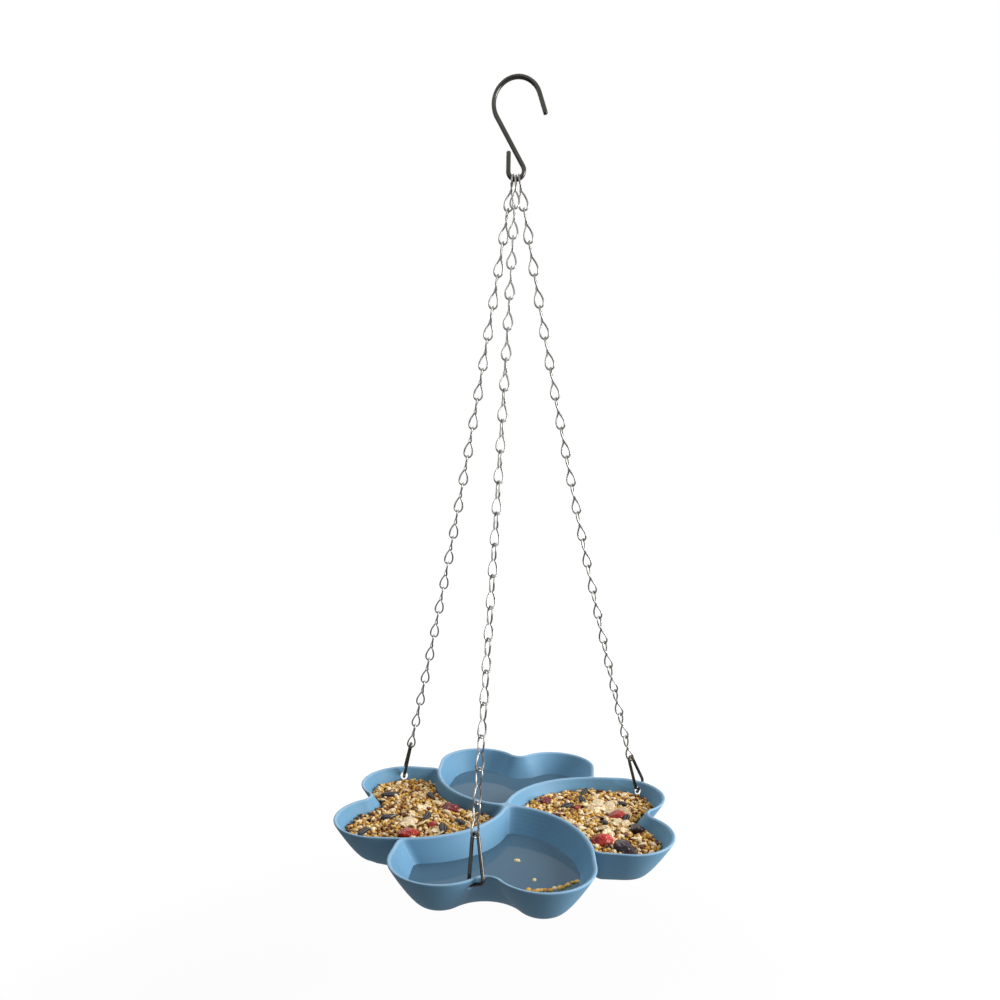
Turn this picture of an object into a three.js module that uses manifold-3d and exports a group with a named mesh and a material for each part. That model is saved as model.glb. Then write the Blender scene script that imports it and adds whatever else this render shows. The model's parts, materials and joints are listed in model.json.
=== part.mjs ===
// Hanging tray bird feeder: one moulded tray of four heart-shaped bowls set like a pinwheel,
// hung by three twisted wire chains from a bent wire S-hook. Each chain ends in a triangular
// wire clip that passes through a hole under the tray's rim.
// Millimetres, +Z up. The origin is where a branch bears in the hook's upper bend,
// -Y is the front of the tray and +X its right.
import * as THREE from 'three';
import { mergeVertices } from 'three/addons/utils/BufferGeometryUtils.js';
import Module from 'manifold-3d';

const wasm = await Module();
wasm.setup();

// Driving dimensions
const CLEARANCE = 0.3;          // gap between two pieces that bear on each other
const LOOSE_CLEARANCE = 0.6;    // gap where the feeder swings and twists
const CLIP_CLEARANCE = 1.4;     // gap where a clip turns in its link
const HOOK_WIRE = 3.2;
const HOOK_BEND = 15.7;         // upper bend, radius of the wire's centreline
const HOOK_LOOP = 5.3;          // lower loop, radius of the wire's centreline
const HOOK_LEAN = 30.3;         // lean of the straight shank, degrees
const HOOK_TAIL = 13.5;         // straight end past the upper bend
const HOOK_TAIL_LEAN = 19;      // degrees
const HOOK_UPRIGHT = 12;        // straight end past the lower loop
const CHAIN_WIRE = 1.3;
const CHAIN_PITCH = 21;
const CHAIN_LINKS = 21;
const LOOSE_JOINTS = 2;
const CHAIN_SAG = 5;            // a chain's middle hangs in this far from the straight line
const EYE_WIDTH = 6.9;          // a link's eye, over the wire
const CLIP_WIRE = 2.5;
const CLIP_HEIGHT = 32.2;       // bar to apex, wire centre to wire centre
const CLIP_BASE = 13;           // between the two legs at the bar
const CLIP_SHIFT = 5;           // the bar reaches this much farther out of its hole than in
const CLIP_TILT = 25;           // rise of the bar towards the outer leg, degrees
const CLIP_CORNER = 2;          // radius of the bend into the bar
const CLIP_CROWN = 2.8;         // radius of the bend at the apex
const CLIP_LEAN = 15;           // lean of the legs where they run into that bend, degrees
const HOLE = 6.5;               // clip hole in the tray's wall
const HOLE_DEPTH = 7;           // its centre below the rim
const TRAY_DEPTH = 29;
const WALL = 2.6;
const FLOOR = 2.4;
const VALLEY_RADIUS = 94.5;     // where a divider ends and two bowls part
const VALLEY_CORNER = 6;
const DIVIDER_START = 88;       // heading of a divider at the centre, degrees from its bowl's notch
const DIVIDER_TURN = 43.5;      // degrees that it turns on the way to the valley
const TIP_RADIUS = 8;           // round inner corner of a bowl
const LOBE_RADIUS = 34.3;
const LOBE_OFFSET = 33.5;       // lobe centre, sideways from the bowl's own axis
const LOBE_DISTANCE = 89;       // lobe centre, out from the tray's centre
const NOTCH_RADIUS = 10;
const DRAW_DISTANCE = 78;       // point that the dividers draw in towards, out from the tray's centre
const DRAW_SIDE = 10;           // and sideways from the bowl's own axis
const DRAW_WIDTH = 0.24;        // share of the way to that point at floor level, across the bowl
const DRAW_LENGTH = 0.3;        // and along it
const EDGE_DRAW = 21;           // the outer wall draws in square to itself, this far at floor level
const EDGE_START = 65;          // from here outwards a wall takes on the outer wall's draw,
const EDGE_FULL = 100;          // and from here on it has all of it
const STRAIGHT_SHARE = 0.75;    // part of a wall's slope that is plain draft, the rest is rounding
const HUB_RADIUS = 6;           // web where the four dividers meet
const HUB_DEPTH = 4.5;

// Mesh fineness
const WIRE_SIDES = 8;
const ROUND_SIDES = 12;
const BEND_POINTS = 14;
const LOOP_POINTS = 10;
const CROWN_POINTS = 5;
const CORNER_POINTS = 3;
const DIVIDER_POINTS = 4;
const HOOK_STEPS = 52;
const CLIP_STEPS = 26;
const LINK_SIDES = 4;
const LINK_STEPS = 16;
const OUTLINE_POINTS = 48;
const WALL_STEPS = [0, 0.35, 0.65, 0.87, 1];
const CHAIN_NODES = 18;         // nodes in one chain: links past this number share nodes in pairs

// Bowls by the direction of their notch, degrees about +Z from the front
const BOWL_TURNS = [0, 90, 180, 270];
// Chains: the bowl that the clip holds, its lobe (1 anticlockwise of the notch, -1 clockwise), the
// hole's angle on that lobe, and the top link's place on the hook
const SEATS = [
  { name: 'front', turn: 0, lobe: -1, angle: -40, top: 0 },
  { name: 'right', turn: 90, lobe: 1, angle: -31.5, top: 1 },
  { name: 'left', turn: -90, lobe: -1, angle: 194.4, top: -1 },
];

const plastic = { color: 0x6f9bc4, roughness: 0.5, metalness: 0 };
const darkWire = { color: 0x4a4a48, roughness: 0.35, metalness: 1 };
const brightWire = { color: 0xb9bab6, roughness: 0.3, metalness: 1 };

const rad = THREE.MathUtils.degToRad;
const feeder = new THREE.Group();

function addMesh(name, geometry, finish) {
  const mesh = new THREE.Mesh(geometry, new THREE.MeshStandardMaterial(finish));
  mesh.name = name;
  feeder.add(mesh);
}

// A closed geometry as a solid for joining and cutting, and back again
function toSolid(geometry) {
  const bare = new THREE.BufferGeometry();
  bare.setAttribute('position', geometry.getAttribute('position').clone());
  if (geometry.index) bare.setIndex(geometry.index.clone());
  const merged = mergeVertices(bare, 1e-4);
  const vertProperties = new Float32Array(merged.getAttribute('position').array);
  const triVerts = new Uint32Array(merged.index.array);
  return new wasm.Manifold(new wasm.Mesh({ numProp: 3, vertProperties, triVerts }));
}

function toGeometry(solid) {
  const mesh = solid.getMesh();
  const geometry = new THREE.BufferGeometry();
  geometry.setAttribute('position', new THREE.BufferAttribute(new Float32Array(mesh.vertProperties), 3));
  geometry.setIndex(new THREE.BufferAttribute(new Uint32Array(mesh.triVerts), 1));
  return geometry;
}

// Round wire along points, with flat ends
function wire(points, diameter, steps) {
  const section = new THREE.Shape().absarc(0, 0, diameter / 2, 0, 2 * Math.PI);
  const extrudePath = new THREE.CatmullRomCurve3(points, false, 'centripetal');
  return new THREE.ExtrudeGeometry(section, { steps, curveSegments: WIRE_SIDES / 2, extrudePath });
}

// Points of an arc in a plane spanned by u and v, from one angle to another in degrees
function arc(centre, u, v, radius, from, to, count) {
  return Array.from({ length: count + 1 }, (_, i) => {
    const angle = rad(from + (to - from) * i / count);
    const point = centre.clone().addScaledVector(u, radius * Math.cos(angle));
    return point.addScaledVector(v, radius * Math.sin(angle));
  });
}

// A direction turned as little as it takes to stand square to an axis
function squareTo(axis, direction) {
  return direction.clone().addScaledVector(axis, -direction.dot(axis)).normalize();
}

const X = new THREE.Vector3(1, 0, 0);
const Y = new THREE.Vector3(0, 1, 0);
const Z = new THREE.Vector3(0, 0, 1);

// S-hook: tail, upper bend, leaning shank, lower loop and upright end, all in the XZ plane.
// The shank is as long as it takes to bring the lower loop under the upper bend.
const hookShank = (HOOK_BEND + HOOK_LOOP) / Math.tan(rad(HOOK_LEAN));
const bendCentre = new THREE.Vector3(0, 0, HOOK_WIRE / 2 - HOOK_BEND);
const loopCentre = bendCentre.clone().addScaledVector(
  Z, -(HOOK_BEND + HOOK_LOOP) * Math.sin(rad(HOOK_LEAN)) - hookShank * Math.cos(rad(HOOK_LEAN)));

function hookGeometry() {
  const bend = arc(bendCentre, X, Z, HOOK_BEND, HOOK_TAIL_LEAN, 180 + HOOK_LEAN, BEND_POINTS);
  const loop = arc(loopCentre, X, Z, HOOK_LOOP, HOOK_LEAN, -180, LOOP_POINTS);
  const tail = bend[0].clone()
    .addScaledVector(X, HOOK_TAIL * Math.sin(rad(HOOK_TAIL_LEAN)))
    .addScaledVector(Z, -HOOK_TAIL * Math.cos(rad(HOOK_TAIL_LEAN)));
  const upright = loop.at(-1).clone().addScaledVector(Z, HOOK_UPRIGHT);
  const middle = bend.at(-1).clone().lerp(loop[0], 0.5);
  return wire([tail, ...bend, middle, ...loop, upright], HOOK_WIRE, HOOK_STEPS);
}

// One bowl's outline in plan along the middle of its wall, notch towards -Y, anticlockwise.
// A divider is a spiral whose heading turns steadily with the radius.
function onDivider(radius, start) {
  const angle = rad(start - DIVIDER_TURN * radius / VALLEY_RADIUS);
  return new THREE.Vector2(radius * Math.sin(angle), -radius * Math.cos(angle));
}

function bowlOutline() {
  const spacing = (VALLEY_RADIUS - TIP_RADIUS) / (DIVIDER_POINTS + 1);
  const radii = Array.from({ length: DIVIDER_POINTS }, (_, i) => TIP_RADIUS + spacing * (i + 1));
  const left = DIVIDER_START - 90;
  const tip = onDivider(TIP_RADIUS, left);
  const corner = onDivider(VALLEY_RADIUS, left);
  const rise = Math.sqrt((LOBE_RADIUS + NOTCH_RADIUS) ** 2 - LOBE_OFFSET ** 2);
  const toNotch = Math.atan2(-rise, LOBE_OFFSET);
  const valley = onDivider(VALLEY_RADIUS, DIVIDER_START);
  const path = new THREE.Path();
  path.moveTo(tip.x, tip.y);
  path.splineThru([...radii.map((r) => onDivider(r, left)), onDivider(VALLEY_RADIUS - VALLEY_CORNER, left)]);
  path.quadraticCurveTo(corner.x, corner.y, corner.x, corner.y - VALLEY_CORNER);
  path.absarc(-LOBE_OFFSET, -LOBE_DISTANCE, LOBE_RADIUS, Math.PI, 2 * Math.PI + toNotch, false);
  path.absarc(0, -LOBE_DISTANCE - rise, NOTCH_RADIUS, Math.PI + toNotch, -toNotch, true);
  path.absarc(LOBE_OFFSET, -LOBE_DISTANCE, LOBE_RADIUS, -Math.PI - toNotch, 0, false);
  const inwards = [...radii.toReversed(), TIP_RADIUS];
  path.splineThru([valley, ...inwards.map((r) => onDivider(r, DIVIDER_START))]);
  path.quadraticCurveTo(0, 0, tip.x, tip.y);
  return path.getSpacedPoints(OUTLINE_POINTS).slice(0, -1);
}

// Outward directions along a closed outline
function outwards(points) {
  return points.map((_, i) => {
    const along = points[(i + 1) % points.length].clone().sub(points.at(i - 1)).normalize();
    return new THREE.Vector2(along.y, -along.x);
  });
}

// The outline moved sideways, outwards for a positive distance
function offsetOutline(points, distance) {
  const outward = outwards(points);
  return points.map((point, i) => point.clone().addScaledVector(outward[i], distance));
}

// A point of the outline as its wall draws in down to a share of the depth: plain draft plus a round foot.
// Dividers draw in towards a point of the bowl, and the outer wall square to itself.
const drawCentre = new THREE.Vector2(DRAW_SIDE, -DRAW_DISTANCE);
function drawnIn(point, outward, share) {
  const round = 1 - Math.sqrt(1 - share ** 2);
  const drawn = STRAIGHT_SHARE * share + (1 - STRAIGHT_SHARE) * round;
  const edge = THREE.MathUtils.smoothstep(-point.y, EDGE_START, EDGE_FULL);
  const draw = drawCentre.clone().sub(point).multiply(new THREE.Vector2(DRAW_WIDTH, DRAW_LENGTH));
  draw.multiplyScalar(1 - edge).addScaledVector(outward, -EDGE_DRAW * edge);
  return point.clone().addScaledVector(draw, drawn);
}

// Closed solid through plan outlines with equal counts of points, each at its own height
function loft(rings) {
  const count = rings[0].outline.length;
  const positions = rings.flatMap(({ outline, z }) => outline.flatMap((p) => [p.x, p.y, z]));
  const indices = [];
  for (let ring = 0; ring < rings.length - 1; ring += 1) {
    for (let i = 0; i < count; i += 1) {
      const a = ring * count + i;
      const b = ring * count + (i + 1) % count;
      indices.push(a, a + count, b, b, a + count, b + count);
    }
  }
  const last = (rings.length - 1) * count;
  for (const [a, b, c] of THREE.ShapeUtils.triangulateShape(rings[0].outline, [])) indices.push(a, b, c);
  for (const [a, b, c] of THREE.ShapeUtils.triangulateShape(rings.at(-1).outline, [])) {
    indices.push(last + a, last + c, last + b);
  }
  const geometry = new THREE.BufferGeometry();
  geometry.setAttribute('position', new THREE.Float32BufferAttribute(positions, 3));
  geometry.setIndex(indices);
  return geometry;
}

function bowlRings(outline, depth) {
  const outward = outwards(outline);
  return WALL_STEPS.map((share) => ({
    outline: outline.map((point, i) => drawnIn(point, outward[i], share)),
    z: -depth * share,
  }));
}

// Where a clip's bar goes through the wall: the hole's centre and the wall's outward direction,
// in the tray's own frame with the rim at z = 0
function clipSeat({ turn, lobe, angle }) {
  const outward = new THREE.Vector3(Math.cos(rad(angle)), Math.sin(rad(angle)), 0);
  const onLobe = new THREE.Vector2(
    lobe * LOBE_OFFSET + LOBE_RADIUS * outward.x, -LOBE_DISTANCE + LOBE_RADIUS * outward.y);
  const inWall = drawnIn(onLobe, new THREE.Vector2(outward.x, outward.y), HOLE_DEPTH / TRAY_DEPTH);
  const hole = new THREE.Vector3(inWall.x, inWall.y, -HOLE_DEPTH);
  return { hole: hole.applyAxisAngle(Z, rad(turn)), outward: outward.applyAxisAngle(Z, rad(turn)) };
}

// Tray: four bowls joined along their dividers and at the hub, hollowed, and drilled for the clips
function trayGeometry() {
  const middle = bowlOutline();
  const shell = toSolid(loft(bowlRings(offsetOutline(middle, WALL / 2), TRAY_DEPTH)));
  const inner = offsetOutline(middle, -WALL / 2);
  const hollow = toSolid(loft([{ outline: inner, z: FLOOR }, ...bowlRings(inner, TRAY_DEPTH - FLOOR)]));
  const hubProfile = [[0, 0], [0, -HUB_DEPTH], [HUB_RADIUS / 2, -HUB_DEPTH], [HUB_RADIUS, 0], [0, 0]];
  const hub = new THREE.LatheGeometry(hubProfile.map(([x, y]) => new THREE.Vector2(x, y)), ROUND_SIDES);
  hub.rotateX(Math.PI / 2);
  const drillLength = 4 * WALL;
  let tray = toSolid(hub);
  for (const turn of BOWL_TURNS) tray = tray.add(shell.rotate([0, 0, turn]));
  for (const turn of BOWL_TURNS) tray = tray.subtract(hollow.rotate([0, 0, turn]));
  for (const seat of SEATS) {
    const { hole, outward } = clipSeat(seat);
    const drill = new THREE.CylinderGeometry(HOLE / 2, HOLE / 2, drillLength, ROUND_SIDES);
    drill.applyQuaternion(new THREE.Quaternion().setFromUnitVectors(Y, outward));
    tray = tray.subtract(toSolid(drill.translate(hole.x, hole.y, hole.z)));
  }
  return toGeometry(tray);
}

// A link's centreline: two eyes at right angles, joined by a waist that turns a quarter turn.
// Its axis is Z; the upper eye lies in the XZ plane and the lower one in the YZ plane.
const linkReach = CHAIN_PITCH + CHAIN_WIRE + CLEARANCE;
class LinkCurve extends THREE.Curve {
  getPoint(t, target = new THREE.Vector3()) {
    const s = 2 * Math.PI * t;
    const strand = t < 0.5 ? 1 : -1;
    const waist = (CHAIN_WIRE + CLEARANCE) / 2;
    const reach = (EYE_WIDTH - CHAIN_WIRE) / 2 * Math.abs(Math.sin(2 * s)) + waist * Math.sin(s) ** 4;
    const turned = Math.PI / 4 * (1 - Math.sin(Math.PI / 2 * THREE.MathUtils.clamp(2 * Math.cos(s), -1, 1)));
    return target.set(
      strand * reach * Math.cos(turned), strand * reach * Math.sin(turned), linkReach / 2 * Math.cos(s));
  }

  getPointAt(u, target) {
    return this.getPoint(u, target);
  }

  getTangentAt(u, target) {
    return this.getTangent(u, target);
  }
}

function linkGeometry() {
  const tube = new THREE.TubeGeometry(new LinkCurve(), LINK_STEPS, CHAIN_WIRE / 2, LINK_SIDES, true);
  return toGeometry(toSolid(tube));
}

// The hook's wire where a chain's top link hangs, side by side with the other two chains
function chainTop(place) {
  const inside = HOOK_LOOP - HOOK_WIRE / 2;
  const angle = place * 2 * Math.asin((CHAIN_WIRE + CLEARANCE) / 2 / inside);
  const along = new THREE.Vector3(Math.sin(angle), 0, -Math.cos(angle));
  return loopCentre.clone().addScaledVector(along, HOOK_LOOP);
}

// Along a chain's line: a wire that bears in an eye lies this far from the eye's own wire
const onHook = (HOOK_WIRE + CHAIN_WIRE) / 2 + CLEARANCE;
const onClip = (CLIP_WIRE + CHAIN_WIRE) / 2 + CLIP_CLEARANCE;
const loosePitch = linkReach - CHAIN_WIRE - LOOSE_CLEARANCE;
const tautPitches = CHAIN_LINKS - 1 - LOOSE_JOINTS;
const looseReach = linkReach + LOOSE_JOINTS * loosePitch;
const tautLength = looseReach + tautPitches * CHAIN_PITCH - onHook - onClip + CLIP_HEIGHT;

// The tilted bar rides at the hole's outer edge, which the slope of the wall puts about half a hole's width
// out. The chain that has farthest to go sets the tray's height, and the other two hang with a trace more
// play between their links.
const barHeadroom = CLIP_WIRE / 2 / Math.cos(rad(CLIP_TILT)) + HOLE / 2 * Math.tan(rad(CLIP_TILT));
const barAboveHole = HOLE / 2 - barHeadroom - CLEARANCE;
const rimHeight = Math.max(...SEATS.map((seat) => {
  const { hole } = clipSeat(seat);
  const top = chainTop(seat.top);
  const drop = Math.sqrt(tautLength ** 2 - (hole.x - top.x) ** 2 - (hole.y - top.y) ** 2);
  return top.z - drop - barAboveHole - hole.z;
}));

// Clip: a bar through the wall, an outer and an inner leg, and a round apex that the chain pulls on.
// Its plane holds the bar and the line to the hook. The inner leg stops short of the bar's end.
function clipGeometry(bar, out, apex) {
  const pull = apex.clone().sub(bar);
  const up = squareTo(out, pull);
  const at = (x, y) => bar.clone().addScaledVector(out, x).addScaledVector(up, y);
  const outer = CLIP_SHIFT + CLIP_BASE / 2;
  const inner = CLIP_SHIFT - CLIP_BASE / 2;
  const crown = at(pull.dot(out), pull.dot(up) - CLIP_CROWN);
  const points = [
    at(inner, CLIP_WIRE + CLEARANCE),
    ...arc(crown, out, up, CLIP_CROWN, 180 - CLIP_LEAN, CLIP_LEAN, CROWN_POINTS),
    at(outer, 2 * CLIP_CORNER),
    ...arc(at(outer - CLIP_CORNER, CLIP_CORNER), out, up, CLIP_CORNER, 0, -90, CORNER_POINTS),
    at(inner - CLIP_WIRE / 2, 0),
  ];
  return wire(points, CLIP_WIRE, CLIP_STEPS);
}

// A chain's own weight makes it hang in a shallow arc. Gives the point at a distance from the top,
// and the direction up along the chain there.
function hangingLine(top, end) {
  const up = top.clone().sub(end).normalize();
  const length = top.distanceTo(end);
  const sagging = Z.clone().negate().addScaledVector(up, up.z).normalize();
  return (distance) => {
    const share = distance / length;
    const point = top.clone().addScaledVector(up, -distance);
    point.addScaledVector(sagging, 4 * CHAIN_SAG * share * (1 - share));
    const along = up.clone().addScaledVector(sagging, -4 * CHAIN_SAG * (1 - 2 * share) / length);
    return { point, along: along.normalize() };
  };
}

// A chain's links, top to bottom, between its first and last eye. The links turn little by little,
// so that the first hooks square over the hook's wire and the last hangs square on the clip's apex.
function chainLinks(top, end, clipAxis) {
  const up = top.clone().sub(end).normalize();
  const line = hangingLine(top, end);
  const firstEye = squareTo(up, Y);
  const lastEye = squareTo(up, clipAxis);
  if (lastEye.dot(firstEye) < 0) lastEye.negate();
  const turn = Math.atan2(new THREE.Vector3().crossVectors(firstEye, lastEye).dot(up), firstEye.dot(lastEye));
  const pitch = (top.distanceTo(end) - looseReach) / tautPitches;
  return Array.from({ length: CHAIN_LINKS }, (_, i) => {
    const loose = Math.min(i, LOOSE_JOINTS);
    const { point, along } = line(linkReach / 2 + loosePitch * loose + pitch * (i - loose));
    const eye = squareTo(along, firstEye.clone().applyAxisAngle(up, turn * i / (CHAIN_LINKS - 1)));
    const place = new THREE.Matrix4().makeBasis(eye, new THREE.Vector3().crossVectors(along, eye), along);
    return linkGeometry().applyMatrix4(place.setPosition(point));
  });
}

// Halfway down a chain that has more links than nodes, neighbouring links are joined in pairs
const joinedPairs = Math.max(0, CHAIN_LINKS - CHAIN_NODES);
const firstPair = Math.ceil((CHAIN_LINKS - 2 * joinedPairs) / 2) + 1;
const pairedLinks = Array.from({ length: joinedPairs }, (_, i) => firstPair + 2 * i);

// Two neighbouring links held by a bead of solder where they bear on each other
function joinedLinks(upper, lower) {
  upper.computeBoundingBox();
  lower.computeBoundingBox();
  const meeting = upper.boundingBox.clone().intersect(lower.boundingBox).getCenter(new THREE.Vector3());
  const bead = new THREE.OctahedronGeometry(CHAIN_WIRE).translate(meeting.x, meeting.y, meeting.z);
  return toGeometry(toSolid(upper).add(toSolid(lower)).add(toSolid(bead)));
}

addMesh('s_hook', hookGeometry(), darkWire);
addMesh('tray', trayGeometry().translate(0, 0, rimHeight), plastic);

for (const seat of SEATS) {
  const { hole, outward } = clipSeat(seat);
  const bar = hole.addScaledVector(Z, rimHeight + barAboveHole);
  const hang = chainTop(seat.top);
  const line = hangingLine(hang, bar);
  const upAtClip = line(hang.distanceTo(bar)).along;
  const apex = bar.clone().addScaledVector(upAtClip, CLIP_HEIGHT);
  const barAxis = outward.clone().multiplyScalar(Math.cos(rad(CLIP_TILT)))
    .addScaledVector(squareTo(outward, upAtClip), Math.sin(rad(CLIP_TILT)));
  addMesh(`${seat.name}_clip`, clipGeometry(bar, barAxis, apex), darkWire);

  const top = hang.clone().addScaledVector(line(0).along, onHook);
  const end = apex.addScaledVector(upAtClip, -onClip);
  const links = chainLinks(top, end, outward);
  links.forEach((link, i) => {
    const number = i + 1;
    const label = String(number).padStart(2, '0');
    if (pairedLinks.includes(number)) {
      const next = String(number + 1).padStart(2, '0');
      addMesh(`${seat.name}_links_${label}_${next}`, joinedLinks(link, links[number]), brightWire);
    } else if (!pairedLinks.includes(number - 1)) {
      addMesh(`${seat.name}_link_${label}`, link, brightWire);
    }
  });
}

export default feeder;
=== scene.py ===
# Hanging tray bird feeder: a moulded tray of four heart-shaped bowls, hung by three twisted wire
# chains from a bent wire S-hook. Metres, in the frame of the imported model: the origin is where a
# branch bears in the hook, +Z is up and -Y is the front of the tray.
import json
from math import cos, pi, radians, sin, tan

import bmesh
import bpy
import numpy as np
from mathutils import Matrix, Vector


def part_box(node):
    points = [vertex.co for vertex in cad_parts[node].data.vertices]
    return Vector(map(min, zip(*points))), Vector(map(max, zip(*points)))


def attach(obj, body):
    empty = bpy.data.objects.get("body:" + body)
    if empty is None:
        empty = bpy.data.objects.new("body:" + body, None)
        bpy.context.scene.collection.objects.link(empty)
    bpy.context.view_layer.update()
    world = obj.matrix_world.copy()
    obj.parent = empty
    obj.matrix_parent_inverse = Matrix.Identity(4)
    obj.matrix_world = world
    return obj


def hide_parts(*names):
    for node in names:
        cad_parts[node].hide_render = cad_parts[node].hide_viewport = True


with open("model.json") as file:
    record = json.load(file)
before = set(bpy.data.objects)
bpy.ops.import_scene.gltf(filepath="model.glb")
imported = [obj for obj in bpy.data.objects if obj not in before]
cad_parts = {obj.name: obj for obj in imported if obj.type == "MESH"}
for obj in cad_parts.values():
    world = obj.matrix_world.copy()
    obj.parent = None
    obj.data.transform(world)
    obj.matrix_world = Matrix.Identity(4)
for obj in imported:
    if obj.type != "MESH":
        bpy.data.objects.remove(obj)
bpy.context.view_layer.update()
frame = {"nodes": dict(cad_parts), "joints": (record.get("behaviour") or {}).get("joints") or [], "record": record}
joints = {joint["name"]: joint for joint in frame["joints"]}

# Camera: at the photograph's place, a little right of the middle and above the tray. The shift
# brings the whole chain length into the frame without tilting the camera further.
CAMERA_PLACE = (0.053185, -0.520648, -0.276008)
CAMERA_YAW = radians(6.568)
CAMERA_DROP = radians(9.125)
CAMERA_ROLL = radians(0.781)
camera_lens = bpy.data.cameras.new("photo_camera")
camera_lens.sensor_width = 36
camera_lens.lens = 25.763
camera_lens.shift_y = 0.1169
camera_lens.clip_start = 0.01
camera = bpy.data.objects.new("photo_camera", camera_lens)
bpy.context.scene.collection.objects.link(camera)
camera_turn = Matrix.Rotation(CAMERA_YAW, 4, "Z") @ Matrix.Rotation(pi / 2 - CAMERA_DROP, 4, "X")
camera_turn = camera_turn @ Matrix.Rotation(CAMERA_ROLL, 4, "Z")
camera.matrix_world = Matrix.Translation(CAMERA_PLACE) @ camera_turn
bpy.context.scene.camera = camera


# Studio: a white surround, a pale floor well below the tray, one large soft lamp low at the right, and
# a weaker one above and behind. The surround lights the object softly from all sides.
class Shade:
    """A socket of a material's nodes. Arithmetic on it adds Math nodes."""

    def __init__(self, tree, socket):
        self.tree = tree
        self.socket = socket

    def node(self, kind, settings=None, inputs=None, output=0):
        """Any other node: its type, its settings, which are set first, and its sockets' values or links."""
        made = self.tree.nodes.new(kind)
        for name, value in (settings or {}).items():
            if name == "stops":
                ramp = made.color_ramp.elements
                for place, _ in value[len(ramp):]:
                    ramp.new(place)
                for stop, (place, colour) in zip(ramp, value):
                    stop.position = place
                    stop.color = (*colour, 1)
            else:
                setattr(made, name, value)
        for name, value in (inputs or {}).items():
            if isinstance(value, Shade):
                self.tree.links.new(value.socket, made.inputs[name])
            else:
                made.inputs[name].default_value = value
        return Shade(self.tree, made.outputs[output])

    def into(self, socket):
        """Links this value to a shader's socket."""
        self.tree.links.new(self.socket, socket)

    def math(self, operation, *values):
        """A Math node on numbers and values."""
        return self.node("ShaderNodeMath", {"operation": operation}, dict(enumerate(values)))

    def __add__(self, other):
        return self.math("ADD", self, other)

    def __radd__(self, other):
        return self.math("ADD", other, self)

    def __sub__(self, other):
        return self.math("SUBTRACT", self, other)

    def __rsub__(self, other):
        return self.math("SUBTRACT", other, self)

    def __mul__(self, other):
        return self.math("MULTIPLY", self, other)

    def __rmul__(self, other):
        return self.math("MULTIPLY", other, self)

    def ramp(self, low, high):
        """0 below low, 1 above high, eased between."""
        settings = {"interpolation_type": "SMOOTHSTEP"}
        return self.node("ShaderNodeMapRange", settings, {"Value": self, "From Min": low, "From Max": high})

    def mix(self, first, second):
        """From the first colour to the second by this value."""
        colours = [c if isinstance(c, Shade) else (*c, 1) for c in (first, second)]
        return self.node("ShaderNodeMix", {"data_type": "RGBA"}, {0: self, 6: colours[0], 7: colours[1]}, 2)

    def noise(self, scale, detail=2.0):
        """Cloudy noise over this place, 0 to 1."""
        return self.node("ShaderNodeTexNoise", {}, {"Vector": self, "Scale": scale, "Detail": detail})


SURROUND_LIGHT = 0.21
world = bpy.data.worlds.new("white_surround")
bpy.context.scene.world = world
world.use_nodes = True
world_out = world.node_tree.nodes["World Output"]
surround = world.node_tree.nodes["Background"]
surround.inputs["Color"].default_value = (1, 1, 1, 1)
surround.inputs["Strength"].default_value = SURROUND_LIGHT
rays = world.node_tree.nodes.new("ShaderNodeLightPath")
seen = Shade(world.node_tree, rays.outputs["Is Camera Ray"])
for ray in ("Is Glossy Ray", "Is Transmission Ray"):
    seen = seen.math("MAXIMUM", seen, Shade(world.node_tree, rays.outputs[ray]))
white = seen.node("ShaderNodeBackground", {}, {"Color": (1, 1, 1, 1), "Strength": 1.0})
soft = Shade(world.node_tree, surround.outputs[0])
seen.node("ShaderNodeMixShader", {}, {0: seen, 1: soft, 2: white}).into(world_out.inputs["Surface"])

FLOOR_HEIGHT = -0.80
FLOOR_REACH = 12.0
floor_mesh = bpy.data.meshes.new("studio_floor")
corners = np.array([[-1, -1], [1, -1], [1, 1], [-1, 1]]) * FLOOR_REACH
floor_mesh.from_pydata(np.insert(corners, 2, FLOOR_HEIGHT, axis=1).tolist(), [], [(0, 1, 2, 3)])
studio_floor = bpy.data.objects.new("studio_floor", floor_mesh)
bpy.context.scene.collection.objects.link(studio_floor)


def new_finish(name):
    """A material with its surface shader, and the place on the piece as the start of its nodes."""
    material = bpy.data.materials.new(name)
    material.use_nodes = True
    tree = material.node_tree
    place = tree.nodes.new("ShaderNodeTexCoord")
    return material, tree.nodes["Principled BSDF"], Shade(tree, place.outputs["Object"])


floor_finish, floor_surface, floor_place = new_finish("pale_floor")
floor_surface.inputs["Base Color"].default_value = (0.36, 0.36, 0.36, 1)
floor_surface.inputs["Roughness"].default_value = 0.9
floor_surface.inputs["Specular IOR Level"].default_value = 0.0
# The camera sees the floor nearly white, all the more away from the middle, where no shadow falls
flat_place = floor_place.node(
    "ShaderNodeVectorMath", {"operation": "MULTIPLY"}, {0: floor_place, 1: (1, 1, 0)})
from_middle = flat_place.node("ShaderNodeVectorMath", {"operation": "LENGTH"}, {0: flat_place}, 1)
floor_rays = floor_finish.node_tree.nodes.new("ShaderNodeLightPath")
seen_floor = Shade(floor_finish.node_tree, floor_rays.outputs["Is Camera Ray"])
glow = seen_floor * (0.88 + 0.12 * from_middle.ramp(0.3, 1.0))
floor_white = glow.node("ShaderNodeEmission", {}, {"Color": (1, 1, 1, 1), "Strength": 1.06})
floor_shaded = Shade(floor_finish.node_tree, floor_surface.outputs[0])
floor_out = floor_finish.node_tree.nodes["Material Output"]
floor_mix = glow.node("ShaderNodeMixShader", {}, {0: glow, 1: floor_shaded, 2: floor_white})
floor_mix.into(floor_out.inputs["Surface"])
floor_mesh.materials.append(floor_finish)


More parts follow.
